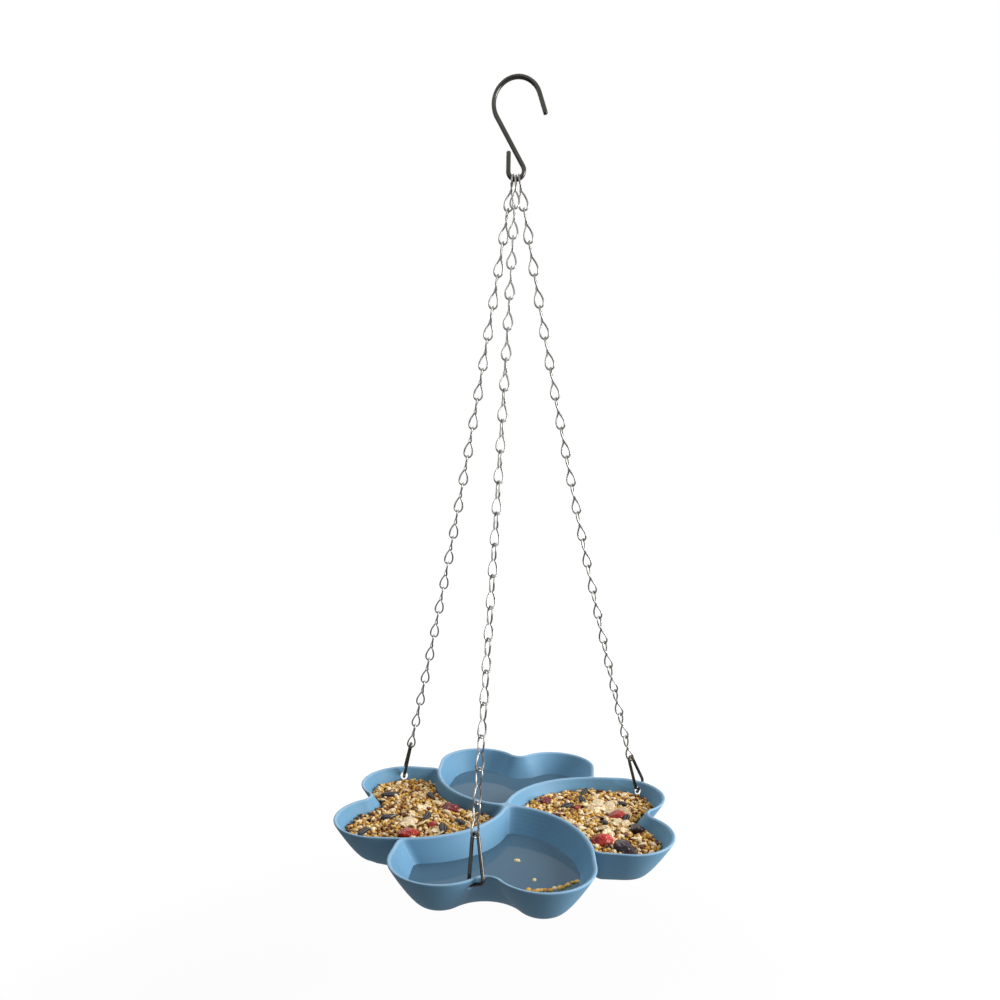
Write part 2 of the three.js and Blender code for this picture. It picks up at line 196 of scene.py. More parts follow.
def add_lamp(name, place, target, size, power):
    """A square soft lamp at a place, turned towards its target."""
    lamp = bpy.data.lights.new(name, "AREA")
    lamp.size = size
    lamp.energy = power
    holder = bpy.data.objects.new(name, lamp)
    bpy.context.scene.collection.objects.link(holder)
    direction = Vector(target) - Vector(place)
    turn = direction.to_track_quat("-Z", "Y").to_matrix().to_4x4()
    holder.matrix_world = Matrix.Translation(place) @ turn


add_lamp("key_lamp", place=(1.0, -0.15, -0.15), target=(0, 0, -0.5), size=0.6, power=18)
add_lamp("top_lamp", place=(-0.3, 0.5, 0.5), target=(0, 0, -0.5), size=0.8, power=8)

# Tray: one injection moulding in satin blue plastic. Four bowls share their curved dividers and
# meet at a small hub; the walls draw in to flat floors, the rim is a full half round, and three
# holes under it take the wire clips.
MM = 0.001
TRAY_DEPTH = 29.0
WALL = 2.6
FLOOR = 2.4
VALLEY_RADIUS = 94.5
VALLEY_CORNER = 6.0
TIP_RADIUS = 8.0
LEFT_HEADING = -2.0
RIGHT_HEADING = 88.0
DIVIDER_TURN = 43.5
LOBE_RADIUS = 34.3
LOBE_OFFSET = 33.5
LOBE_DISTANCE = 89.0
NOTCH_RADIUS = 10.0
DRAW_CENTRE = np.array([10.0, -78.0])
DRAW_SHARE = np.array([0.24, 0.3])
EDGE_DRAW = 21.0
EDGE_START = 65.0
EDGE_FULL = 100.0
STRAIGHT_SHARE = 0.75
HUB_RADIUS = 6.0
HUB_DEPTH = 4.5
HOLE = 6.5
HOLE_HEADINGS = {"front": -40.0, "right": 58.5, "left": 104.4}
DIVIDER_STEPS = 60
CORNER_STEPS = 20
LOBE_STEPS = 90
NOTCH_STEPS = 30
OUTLINE_POINTS = 320
SHARP_EDGE = radians(35)
RIM_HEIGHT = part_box("tray")[1].z


def on_divider(radius, heading):
    """Spiral in plan: the angle from the bowl's axis falls steadily with the radius from the centre."""
    angle = np.radians(heading - DIVIDER_TURN * radius / VALLEY_RADIUS)
    return np.stack([radius * np.sin(angle), -radius * np.cos(angle)], axis=-1)


def arc(centre, radius, start, end, count):
    """Points centre + radius (cos a, sin a) for count even angles from start to end, in radians."""
    angle = np.linspace(start, end, count)
    return np.asarray(centre) + radius * np.stack([np.cos(angle), np.sin(angle)], axis=-1)


def eased_corner(first, corner, last, count):
    """Quadratic curve (1-t)^2 first + 2t(1-t) corner + t^2 last, which rounds a corner off."""
    t = np.linspace(0, 1, count)[:, None]
    return (1 - t) ** 2 * first + 2 * t * (1 - t) * corner + t ** 2 * last


def even_points(path, count, closed):
    """The path again with evenly spaced points, by interpolating along its length."""
    path = np.concatenate([path, path[:1]]) if closed else path
    length = np.concatenate([[0], np.cumsum(np.linalg.norm(np.diff(path, axis=0), axis=1))])
    wanted = np.linspace(0, length[-1], count, endpoint=not closed)
    return np.stack([np.interp(wanted, length, column) for column in path.T], axis=-1)


def bowl_outline():
    """One bowl in plan along the middle of its wall, anticlockwise, its notch towards -Y: left divider,
    valley corner, left lobe, notch, right lobe, right divider and round tip."""
    rise = np.sqrt((LOBE_RADIUS + NOTCH_RADIUS) ** 2 - LOBE_OFFSET ** 2)
    to_notch = np.arctan2(-rise, LOBE_OFFSET)
    left = on_divider(np.linspace(TIP_RADIUS, VALLEY_RADIUS - VALLEY_CORNER, DIVIDER_STEPS), LEFT_HEADING)
    corner = on_divider(np.array(VALLEY_RADIUS), LEFT_HEADING)
    right = on_divider(np.linspace(VALLEY_RADIUS, TIP_RADIUS, DIVIDER_STEPS), RIGHT_HEADING)
    return even_points(np.concatenate([
        left,
        eased_corner(left[-1], corner, corner - [0, VALLEY_CORNER], CORNER_STEPS)[1:],
        arc((-LOBE_OFFSET, -LOBE_DISTANCE), LOBE_RADIUS, pi, 2 * pi + to_notch, LOBE_STEPS),
        arc((0, -LOBE_DISTANCE - rise), NOTCH_RADIUS, pi + to_notch, -to_notch, NOTCH_STEPS)[1:],
        arc((LOBE_OFFSET, -LOBE_DISTANCE), LOBE_RADIUS, -pi - to_notch, 0, LOBE_STEPS)[1:],
        right,
        eased_corner(right[-1], np.zeros(2), left[0], CORNER_STEPS)[1:-1],
    ]), OUTLINE_POINTS, True)


def outward_of(outline):
    """The outward normal at each point of a closed anticlockwise outline."""
    along = np.roll(outline, -1, axis=-2) - np.roll(outline, 1, axis=-2)
    along = along / np.linalg.norm(along, axis=-1, keepdims=True)
    return np.stack([along[..., 1], -along[..., 0]], axis=-1)


def bowl_surface(outline, sideways, share, depth):
    """Rows of a bowl's wall at height -depth * s for each share s of the depth. A row is the outline moved
    outwards by its sideways value, plus (straight * s + (1 - straight) * (1 - sqrt(1 - s^2))) * D, where D
    leads towards the draw centre at the dividers and squarely inwards along the tray's edge."""
    moved = outline + sideways[:, None, None] * outward_of(outline)
    edge = np.clip((-moved[..., 1:] - EDGE_START) / (EDGE_FULL - EDGE_START), 0, 1)
    edge = edge ** 2 * (3 - 2 * edge)
    draw = (1 - edge) * DRAW_SHARE * (DRAW_CENTRE - moved) - edge * EDGE_DRAW * outward_of(moved)
    drawn = STRAIGHT_SHARE * share + (1 - STRAIGHT_SHARE) * (1 - np.sqrt(1 - share ** 2))
    plan = moved + drawn[:, None, None] * draw
    height = np.broadcast_to((-depth * share)[:, None, None], (*plan.shape[:2], 1))
    return np.concatenate([plan, height], axis=-1)


def about_up(turn):
    """The matrix that turns rows of points anticlockwise about +Z, when they are multiplied by it."""
    return np.array([[cos(turn), sin(turn), 0], [-sin(turn), cos(turn), 0], [0, 0, 1]])


def lofted(rows, turn=0.0, lift=0.0):
    """A closed solid through rows of points, bottom and top capped: a temporary object in metres, turned
    about +Z and lifted."""
    count, columns = rows.shape[:2]
    index = np.arange(count * columns).reshape(count, columns)
    ahead = np.roll(index, -1, axis=1)
    sides = np.stack([index[:-1], index[1:], ahead[1:], ahead[:-1]], axis=-1).reshape(-1, 4)
    points = rows.reshape(-1, 3) @ about_up(turn) * MM + [0, 0, lift]
    mesh = bpy.data.meshes.new("moulding_step")
    mesh.from_pydata(points.tolist(), [], sides.tolist() + [index[0].tolist(), index[-1, ::-1].tolist()])
    solid = bpy.data.objects.new("moulding_step", mesh)
    bpy.context.scene.collection.objects.link(solid)
    return solid


# Rows of the shell and of the hollow: a quarter round at the rim, then the wall down to the floor
CREST = 0.05
RIM_ROWS = 7
WALL_ROWS = 22
rim_turn = np.radians(np.linspace(0, 90, RIM_ROWS))
wall_share = np.sin(np.radians(np.linspace(0, 90, WALL_ROWS)))
inner_depth = TRAY_DEPTH - FLOOR
rim_drop = WALL / 2 * (1 - np.cos(rim_turn))
outline = bowl_outline()


def shell_rows():
    """The outside of a bowl: half the wall outwards, from the rim's crest down to the foot."""
    share = np.concatenate([rim_drop, WALL / 2 + wall_share[1:] * (TRAY_DEPTH - WALL / 2)]) / TRAY_DEPTH
    sideways = np.concatenate([WALL / 2 * np.sin(rim_turn), np.full(len(wall_share) - 1, WALL / 2)])
    return bowl_surface(outline, sideways, share, TRAY_DEPTH)


def hollow_rows():
    """The inside of a bowl: half the wall inwards, from above the rim's crest down to the floor."""
    fall = WALL / 2 + wall_share[1:] * (inner_depth - WALL / 2)
    share = np.concatenate([[0], rim_drop, fall]) / inner_depth
    flare = CREST + (WALL / 2 - CREST) * np.sin(rim_turn)
    sideways = -np.concatenate([[CREST], flare, np.full(len(wall_share) - 1, WALL / 2)])
    rows = bowl_surface(outline, sideways, share, inner_depth)
    rows[0, :, 2] += WALL
    return rows


def ring(radius, height, count=48):
    """A level circle of points at a height."""
    angle = np.arange(count) * 2 * pi / count
    return np.stack([radius * np.cos(angle), radius * np.sin(angle), np.full(count, height)], axis=-1)


QUARTERS = np.radians([0, 90, 180, 270])
shells = [lofted(shell_rows(), turn, RIM_HEIGHT) for turn in QUARTERS]
hub = lofted(np.stack([ring(HUB_RADIUS, 0), ring(HUB_RADIUS / 2, -HUB_DEPTH)]), 0, RIM_HEIGHT)
hollows = [lofted(hollow_rows(), turn, RIM_HEIGHT) for turn in QUARTERS]

# The clip holes lie under each clip's tilted bar
CLIP_WIRE = 2.5
CLIP_TILT = radians(25)
CLEARANCE = 0.3
bar_above_hole = HOLE / 2 - CLIP_WIRE / 2 / cos(CLIP_TILT) - HOLE / 2 * tan(CLIP_TILT) - CLEARANCE
SIDES = ("front", "right", "left")


def unit(vectors):
    """The vectors made one long."""
    return vectors / np.linalg.norm(vectors, axis=-1, keepdims=True)


def square_to(axis, direction):
    """The direction less its part along the axis, made one long."""
    return unit(direction - np.sum(direction * axis, axis=-1, keepdims=True) * axis)


bar_place = {side: np.array(joints[f"{side}_clip_turn"]["pos_m"]) / MM for side in SIDES}
bar_axis = {side: unit(np.array(joints[f"{side}_clip_turn"]["axis"])) for side in SIDES}
hole_outward = {side: np.array([cos(radians(a)), sin(radians(a)), 0]) for side, a in HOLE_HEADINGS.items()}


def drill(side):
    """A short level cylinder across the wall at the clip's hole."""
    outward = hole_outward[side]
    across = np.cross([0, 0, 1], outward)
    around = ring(HOLE / 2, 0)
    section = around[:, :1] * across + around[:, 1:2] * np.array([0, 0, 1.0])
    centre = bar_place[side] - [0, 0, bar_above_hole]
    return lofted(np.stack([centre + section + outward * 2 * WALL, centre + section - outward * 2 * WALL]))


drills = [drill(side) for side in SIDES]
steps = [("UNION", solid) for solid in shells[1:] + [hub]]
steps += [("DIFFERENCE", solid) for solid in hollows + drills]
for operation, solid in steps:
    step = shells[0].modifiers.new("moulding_step", "BOOLEAN")
    step.solver = "MANIFOLD"
    step.operation = operation
    step.object = solid
moulded = shells[0].evaluated_get(bpy.context.evaluated_depsgraph_get())
tray_mesh = bpy.data.meshes.new_from_object(moulded)
tray_mesh.name = "moulded_tray"
for solid in shells + [hub] + hollows + drills:
    bpy.data.objects.remove(solid)
tray_mesh.shade_smooth()
tray_mesh.set_sharp_from_angle(angle=SHARP_EDGE)

BAND_RATE = 2400.0
tray_finish, tray_surface, tray_place = new_finish("satin_blue_plastic")
tray_clouds = tray_place.noise(14.0, 3.0)
tray_specks = tray_place.noise(900.0, 2.0)
tray_height = tray_place.node("ShaderNodeSeparateXYZ", {}, {0: tray_place}, 2)
below_rim = RIM_HEIGHT - tray_height
bands = tray_place.math("SINE", below_rim * BAND_RATE + 2.0 * tray_clouds)
blue = (0.35 * tray_clouds + 0.35 * tray_specks).mix((0.120, 0.270, 0.412), (0.160, 0.322, 0.470))
# Painted highlight: the rim's crest is mixed towards a pale blue, fading out within 1.6 mm below it
rim_highlight = 1 - below_rim.ramp(0.0002, 0.0016)
(0.42 * rim_highlight).mix(blue, (0.36, 0.54, 0.70)).into(tray_surface.inputs["Base Color"])
(0.36 + 0.10 * tray_clouds + 0.06 * tray_specks).into(tray_surface.inputs["Roughness"])
tray_grain = 0.5 * tray_specks + 0.25 * bands
bump_sizes = {"Height": tray_grain, "Strength": 0.12, "Distance": 0.0004}
tray_grain.node("ShaderNodeBump", {}, bump_sizes).into(tray_surface.inputs["Normal"])
tray_surface.inputs["IOR"].default_value = 1.5
tray_surface.inputs["Specular IOR Level"].default_value = 0.14
tray_mesh.materials.clear()
tray_mesh.materials.append(tray_finish)
tray = bpy.data.objects.new("moulded_tray", tray_mesh)
bpy.context.scene.collection.objects.link(tray)
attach(tray, "hanging")
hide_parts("tray")

# S-hook: one piece of dark plated steel wire, bent to a wide open bend for a branch at the top and
# to a small loop at the bottom that carries the three chains.
HOOK_WIRE = 3.2
HOOK_BEND = 15.7
HOOK_LOOP = 5.3
HOOK_LEAN = radians(30.3)
HOOK_TAIL = 13.5
HOOK_TAIL_LEAN = radians(19)
HOOK_UPRIGHT = 12.0
BEND_STEPS = 90
LOOP_STEPS = 60
HOOK_POINTS = 220
WIRE_SIDES = 20
WIRE_BEVEL = 0.25
CUT_WIDTH = 0.8
WIRE_EDGE = radians(40)
loop_centre = np.array(joints["sway"]["pos_m"]) / MM


def wire_rings(path, binormal, radius, sides, closed):
    """Rings of a round wire along a path. With T along the path, B the binormal squared to T and N = B x T,
    a ring is path + radius * (cos a * N + sin a * B)."""
    if closed:
        along = np.roll(path, -1, axis=-2) - np.roll(path, 1, axis=-2)
    else:
        along = np.gradient(path, axis=-2)
    along = unit(along)
    binormal = square_to(along, np.broadcast_to(binormal, path.shape))
    normal = np.cross(binormal, along)
    angle = np.arange(sides) * 2 * pi / sides
    section = np.cos(angle)[:, None] * normal[..., None, :]
    section = section + np.sin(angle)[:, None] * binormal[..., None, :]
    return path[..., None, :] + np.asarray(radius)[..., None, None] * section


def cut_wire(path, binormal, radius, sides):
    """An open wire whose cut ends are flat with a small bevel: the last rings shrink to a point."""
    bevel = WIRE_BEVEL * radius
    from_start = unit(path[1] - path[0])
    from_end = unit(path[-2] - path[-1])
    path = np.concatenate([path[:1], path[:1], path[:1] + bevel * from_start, path[1:-1],
                           path[-1:] + bevel * from_end, path[-1:], path[-1:]])
    widths = np.full(len(path), radius)
    widths[[0, -1]] = 0
    widths[[1, -2]] = CUT_WIDTH * radius
    smooth = path.copy()
    smooth[:2] = path[2] - np.array([[2], [1]]) * bevel * from_start
    smooth[-2:] = path[-3] - np.array([[1], [2]]) * bevel * from_end
    return wire_rings(smooth, binormal, widths, sides, False) + (path - smooth)[:, None]


def wire_piece(name, coils, closed, finish):
    """A piece of one or more wires, each an array of rings of points, in millimetres."""
    points = []
    faces = []
    for rings in coils:
        count, sides = rings.shape[:2]
        index = np.arange(count * sides).reshape(count, sides) + sum(len(p) for p in points)
        if closed:
            index = np.concatenate([index, index[:1]])
        around = np.roll(index, -1, axis=1)
        faces.append(np.stack([index[:-1], around[:-1], around[1:], index[1:]], axis=-1).reshape(-1, 4))
        points.append(rings.reshape(-1, 3) * MM)
    mesh = bpy.data.meshes.new(name)
    mesh.from_pydata(np.concatenate(points).tolist(), [], np.concatenate(faces).tolist())
    shape = bmesh.new()
    shape.from_mesh(mesh)
    bmesh.ops.remove_doubles(shape, verts=shape.verts, dist=1e-7)
    shape.to_mesh(mesh)
    shape.free()
    mesh.shade_smooth()
    mesh.set_sharp_from_angle(angle=WIRE_EDGE)
    mesh.materials.append(finish)
    piece = bpy.data.objects.new(name, mesh)
    bpy.context.scene.collection.objects.link(piece)
    return piece


def upright_plane(points):
    """Points (x, z) as (x, 0, z)."""
    return np.insert(points, 1, 0, axis=1)


def hook_path():
    """Tail, upper bend, leaning shank, lower loop and upright end, evenly spaced along the wire."""
    bend_centre = np.array([0, HOOK_WIRE / 2 - HOOK_BEND])
    bend = arc(bend_centre, HOOK_BEND, HOOK_TAIL_LEAN, pi + HOOK_LEAN, BEND_STEPS)
    loop = arc(loop_centre[[0, 2]], HOOK_LOOP, HOOK_LEAN, -pi, LOOP_STEPS)
    tail = bend[0] + HOOK_TAIL * np.array([sin(HOOK_TAIL_LEAN), -cos(HOOK_TAIL_LEAN)])
    upright = loop[-1] + [0, HOOK_UPRIGHT]
    return upright_plane(even_points(np.concatenate([[tail], bend, loop, [upright]]), HOOK_POINTS, False))


hook_finish, hook_surface, hook_place = new_finish("dark_plated_wire")
hook_clouds = hook_place.noise(120.0, 3.0)
hook_scuffs = hook_place.noise(1500.0, 2.0)
hook_clouds.mix((0.04, 0.038, 0.035), (0.11, 0.105, 0.097)).into(hook_surface.inputs["Base Color"])
(0.16 + 0.16 * hook_scuffs + 0.08 * hook_clouds).into(hook_surface.inputs["Roughness"])
hook_surface.inputs["Metallic"].default_value = 1.0
scuff_sizes = {"Height": hook_scuffs, "Strength": 0.08, "Distance": 0.0002}
hook_scuffs.node("ShaderNodeBump", {}, scuff_sizes).into(hook_surface.inputs["Normal"])
hook_rings = cut_wire(hook_path(), np.array([0, 1.0, 0]), HOOK_WIRE / 2, WIRE_SIDES)
hook = wire_piece("bent_hook", [hook_rings], False, hook_finish)
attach(hook, "hook")
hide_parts("s_hook")

# Chains: three of 21 links each, every link a closed loop of thin bright wire pinched at its waist and
# twisted a quarter turn, so that its two eyes stand square to each other.
CHAIN_WIRE = 1.3
CHAIN_PITCH = 21.0
CHAIN_LINKS = 21
LOOSE_JOINTS = 2
LOOSE_CLEARANCE = 0.6
CLIP_CLEARANCE = 1.4
CHAIN_SAG = 5.0
EYE_WIDTH = 6.9
CLIP_HEIGHT = 32.2
LINK_POINTS = 72
LINK_SIDES = 10
link_reach = CHAIN_PITCH + CHAIN_WIRE + CLEARANCE
on_hook = (HOOK_WIRE + CHAIN_WIRE) / 2 + CLEARANCE
on_clip = (CLIP_WIRE + CHAIN_WIRE) / 2 + CLIP_CLEARANCE
loose_pitch = link_reach - CHAIN_WIRE - LOOSE_CLEARANCE
CHAIN_PLACES = {"front": 0, "right": 1, "left": -1}


def chain_top(side):
    """Where a chain's top link hangs on the hook's loop, side by side with the other two chains."""
    inner_radius = HOOK_LOOP - HOOK_WIRE / 2
    angle = CHAIN_PLACES[side] * 2 * np.arcsin((CHAIN_WIRE + CLEARANCE) / 2 / inner_radius)
    return loop_centre + HOOK_LOOP * np.array([np.sin(angle), 0, -np.cos(angle)])


def hanging_line(top, end, distance):
    """The shallow arc of a hanging chain: points top - distance * up + 4 sag t(1-t) * sagging for t the
    share of the length, and the direction up along the chain there."""
    up = unit(top - end)
    length = np.linalg.norm(top - end)
    sagging = square_to(up, np.array([0, 0, -1.0]))
    share = np.asarray(distance, dtype=float)[..., None] / length
    points = top - up * share * length + 4 * CHAIN_SAG * share * (1 - share) * sagging
    return points, unit(up - 4 * CHAIN_SAG * (1 - 2 * share) / length * sagging)


def chain_ends(side):
    """The clip's apex and pull, and the outer ends of the chain's first and last eye."""
    hang = chain_top(side)
    bar = bar_place[side]
    length = np.linalg.norm(hang - bar)
    ups = hanging_line(hang, bar, [0, length])[1]
    apex = bar + CLIP_HEIGHT * ups[1]
    return apex, ups[1], hang + on_hook * ups[0], apex - on_clip * ups[1]


def link_path():
    """A link's centreline for s from 0 to 2 pi: reach from its axis (eye - wire)/2 |sin 2s| + waist sin^4 s,
    turned a quarter turn at the waist, at height reach/2 cos s. Also the normal of the eye's plane."""
    s = np.arange(LINK_POINTS) * 2 * pi / LINK_POINTS
    strand = np.where(s < pi, 1, -1)
    reach = (EYE_WIDTH - CHAIN_WIRE) / 2 * np.abs(np.sin(2 * s))
    reach = reach + (CHAIN_WIRE + CLEARANCE) / 2 * np.sin(s) ** 4
    turned = pi / 4 * (1 - np.sin(pi / 2 * np.clip(2 * np.cos(s), -1, 1)))
    flat = strand * reach
    path = np.stack([flat * np.cos(turned), flat * np.sin(turned), link_reach / 2 * np.cos(s)], axis=-1)
    return path, np.stack([-np.sin(turned), np.cos(turned), np.zeros_like(s)], axis=-1)


def turned_about(axis, direction, angle):
    """Directions square to the axis, turned about it by each angle: d cos a + (axis x d) sin a."""
    angle = np.asarray(angle)[:, None]
    return direction * np.cos(angle) + np.cross(axis, direction) * np.sin(angle)


def chain_rings(side):
    """Rings of all links of a chain, top to bottom. A link's local X, Y, Z go along its eye, across it and
    up the chain. The eyes turn little by little from square over the hook's wire to square on the clip."""
    top, end = chain_ends(side)[2:]
    up = unit(top - end)
    first_eye = square_to(up, np.array([0, 1.0, 0]))
    last_eye = square_to(up, hole_outward[side])
    last_eye = last_eye * np.where(last_eye @ first_eye < 0, -1, 1)
    turn = np.arctan2(np.cross(first_eye, last_eye) @ up, first_eye @ last_eye)
    number = np.arange(CHAIN_LINKS)
    loose = np.minimum(number, LOOSE_JOINTS)
    taut = CHAIN_LINKS - 1 - LOOSE_JOINTS
    pitch = (np.linalg.norm(top - end) - link_reach - LOOSE_JOINTS * loose_pitch) / taut
    centre, along = hanging_line(top, end, link_reach / 2 + loose_pitch * loose + pitch * (number - loose))
    eye = square_to(along, turned_about(up, first_eye, turn * number / (CHAIN_LINKS - 1)))
    axes = np.stack([eye, np.cross(along, eye), along], axis=1)
    path, binormal = link_path()
    return wire_rings(path @ axes + centre[:, None], binormal @ axes, CHAIN_WIRE / 2, LINK_SIDES, True)


chain_finish, chain_surface, chain_place = new_finish("bright_plated_wire")
chain_clouds = chain_place.noise(160.0, 3.0)
chain_scuffs = chain_place.noise(2200.0, 2.0)
chain_clouds.mix((0.20, 0.195, 0.185), (0.44, 0.43, 0.41)).into(chain_surface.inputs["Base Color"])
(0.18 + 0.14 * chain_scuffs + 0.10 * chain_clouds).into(chain_surface.inputs["Roughness"])
chain_surface.inputs["Metallic"].default_value = 1.0
rings_of = {side: chain_rings(side) for side in SIDES}
body_of = {node: body for body, nodes in frame["record"]["behaviour"]["bodies"].items() for node in nodes}
for node in sorted(name for name in frame["nodes"] if "_link" in name):
    side, _, *numbers = node.split("_")
    links = wire_piece(f"wire_{node}", [rings_of[side][int(n) - 1] for n in numbers], True, chain_finish)
    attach(links, body_of[node])
    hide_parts(node)

# Clips: one bent triangle of dark wire at the foot of each chain. Its bar goes through the hole under
# the rim, and the inner leg stops short of the bar's end.
CLIP_BASE = 13.0
CLIP_SHIFT = 5.0
CLIP_CORNER = 2.0
CLIP_CROWN = 2.8
CLIP_LEAN = radians(15)
CROWN_STEPS = 24
CORNER_POINTS = 12
CLIP_POINTS = 150
EASING = 9


def eased(path, width):
    """The path with its kinks eased by a running mean over an odd count of points; the ends stay."""
    padded = np.concatenate([np.repeat(path[:1], width // 2, axis=0), path,
                             np.repeat(path[-1:], width // 2, axis=0)])
    spread = np.ones(width) / width
    return np.stack([np.convolve(column, spread, "valid") for column in padded.T], axis=-1)


def clip_path(side):
    """Inner leg, round apex, outer leg, corner and bar in the plane of the bar and the pull."""
    apex, pull = chain_ends(side)[:2]
    out = bar_axis[side]
    up = square_to(out, pull)
    reach = apex - bar_place[side]
    outer = CLIP_SHIFT + CLIP_BASE / 2
    inner = CLIP_SHIFT - CLIP_BASE / 2
    crown = np.array([reach @ out, reach @ up - CLIP_CROWN])
    corner = np.array([outer - CLIP_CORNER, CLIP_CORNER])
    flat = np.concatenate([
        [[inner, CLIP_WIRE + CLEARANCE]],
        arc(crown, CLIP_CROWN, pi - CLIP_LEAN, CLIP_LEAN, CROWN_STEPS),
        [[outer, 2 * CLIP_CORNER]],
        arc(corner, CLIP_CORNER, 0, -pi / 2, CORNER_POINTS),
        [[inner - CLIP_WIRE / 2, 0]],
    ])
    flat = eased(even_points(flat, CLIP_POINTS, False), EASING)
    return bar_place[side] + flat[:, :1] * out + flat[:, 1:] * up, np.cross(out, up)


for side in SIDES:
    path, binormal = clip_path(side)
    clip_rings = cut_wire(path, binormal, CLIP_WIRE / 2, WIRE_SIDES)
    clip = wire_piece(f"wire_{side}_clip", [clip_rings], False, hook_finish)
    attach(clip, f"clip_{side}")
    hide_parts(f"{side}_clip")

# Water: clear water stands in the front and the back bowl, 17 mm below the rim. It is no part of the
# moulding: each fill is a loose piece of its own, sealed into the wall by a trace.
WATER_LEVEL = 17.0
WATER_SEAL = 0.2
WATER_ROWS = 8
water_finish, water_surface, water_place = new_finish("still_water")
water_clouds = water_place.noise(22.0, 2.0)
water_clouds.mix((0.078, 0.155, 0.229), (0.092, 0.175, 0.251)).into(water_surface.inputs["Base Color"])
ripples = water_place.noise(75.0, 1.0)
ripple_sizes = {"Height": ripples, "Strength": 0.05, "Distance": 0.001}
ripples.node("ShaderNodeBump", {}, ripple_sizes).into(water_surface.inputs["Normal"])
water_surface.inputs["Roughness"].default_value = 0.05
water_surface.inputs["IOR"].default_value = 1.33
water_surface.inputs["Specular IOR Level"].default_value = 0.3
water_surface.inputs["Alpha"].default_value = 0.8
water_share = np.linspace(WATER_LEVEL / inner_depth, 1, WATER_ROWS)
water_rows = bowl_surface(outline, np.full(WATER_ROWS, WATER_SEAL - WALL / 2), water_share, inner_depth)
water_rows[-1, :, 2] -= WATER_SEAL


def bowl_fill(name, rows, turn, finish):
    """A closed fill through rows of points in millimetres below the rim, in the bowl at a turn."""
    fill = lofted(rows, turn, RIM_HEIGHT)
    fill.name = name
    fill.data.name = name
    fill.data.materials.append(finish)
    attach(fill, "hanging")
    return fill


for side, turn in (("front", QUARTERS[0]), ("back", QUARTERS[2])):
    water = bowl_fill(f"{side}_water", water_rows, turn, water_finish)
    water.data.shade_smooth()
    water.data.set_sharp_from_angle(angle=SHARP_EDGE)

# Seed bed: the left and the right bowl are filled with a seed mix. Below the loose grains on top, one
# solid in dark colours of the mix stands for the seed that is not seen; its darkness is partly painted shade in
# the gaps between the grains.
SEED_LEVEL = 9.8
SEED_HEAP = 1.6
HEAP_SPREAD = 32
HEAP_WAVES = 0.5
WAVE_ACROSS = 7
WAVE_ALONG = 9
SEED_MIDDLE = np.array([8.0, -72.0])
BED_DEPTH = 6
BED_RINGS = 12
BED_MIDDLE = 0.04
BED_BELOW = 1.5
SEED_TURNS = {"left": QUARTERS[3], "right": QUARTERS[1]}
seed_dice = np.random.default_rng(41)


def heap_height(points):
    """Height over the rim of the seed at points in plan: -level + heap * exp(-d^2 / 2 s^2) and two waves."""
    distance = np.linalg.norm(points - SEED_MIDDLE, axis=-1)
    waves = np.sin(points[..., 0] / WAVE_ACROSS) * np.cos(points[..., 1] / WAVE_ALONG)
    return -SEED_LEVEL + SEED_HEAP * np.exp(-distance ** 2 / (2 * HEAP_SPREAD ** 2)) + HEAP_WAVES * waves


def wall_edge(level, inset):
    """The inside of a bowl's wall in plan at a level below the rim, moved in by an inset."""
    sideways = np.array([-WALL / 2 - inset])
    return bowl_surface(outline, sideways, np.array([level / inner_depth]), inner_depth)[0, :, :2]


def bed_rows():
    """A foot ring in the wall, the edge at seed level, and rings drawn in towards the middle of the heap."""
    foot = np.insert(wall_edge(SEED_LEVEL + BED_DEPTH, -WATER_SEAL), 2, -SEED_LEVEL - BED_DEPTH, axis=1)
    share = np.linspace(1, BED_MIDDLE, BED_RINGS)[:, None, None]
    plan = SEED_MIDDLE + share * (wall_edge(SEED_LEVEL + 1, -WATER_SEAL) - SEED_MIDDLE)
    tops = np.concatenate([plan, heap_height(plan)[..., None] - BED_BELOW], axis=-1)
    return np.concatenate([tops[::-1], foot[None]])


shaded_bed_finish, bed_surface, bed_place = new_finish("seed_below_with_painted_shade")
bed_specks = bed_place.noise(700.0, 2.0).ramp(0.3, 0.7)
# Dark brown specks: partly the seed's own colour, partly painted shade between the grains
bed_specks.mix((0.035, 0.012, 0.004), (0.14, 0.062, 0.016)).into(bed_surface.inputs["Base Color"])
bed_surface.inputs["Roughness"].default_value = 0.7
bed_surface.inputs["Specular IOR Level"].default_value = 0.1
for side, turn in SEED_TURNS.items():
    bowl_fill(f"{side}_seed_bed", bed_rows(), turn, shaded_bed_finish)

# Millet: small round grains, golden with some red and some pale ones, one loose layer over each bed. A
# few stray ones float on the front bowl's water, most of them in a row along its wall.
BOWL_LEFT = -80
BOWL_RIGHT = 80
BOWL_FRONT = -130
ROW_STAGGER = 0.866
MILLET_SPACING = 2.35
MILLET_JITTER = 0.55
MILLET_INSET = 1.3
MILLET_LIFTS = (-1.3, 0.9)
MILLET_TILT = 0.8
MILLET_SIZE = np.array([1.6, 1.42, 1.35])
GRAIN_SCALES = (0.8, 1.2)
ROW_GRAINS = 13
ROW_JITTER = 0.8
PALE_TINT = 0.97
STRAY_TILT = 0.2
STRAY_SIZE = np.array([2.5, 1.9, 1.4])
HALF_SUNK = np.array([[13.5, -54.4, -17.7], [27.4, -78.4, -17.7]])
AFLOAT_ROW = np.array([[24.6, -94.3], [40.3, -88.9], [50.4, -82.2], [54.3, -76.5]])


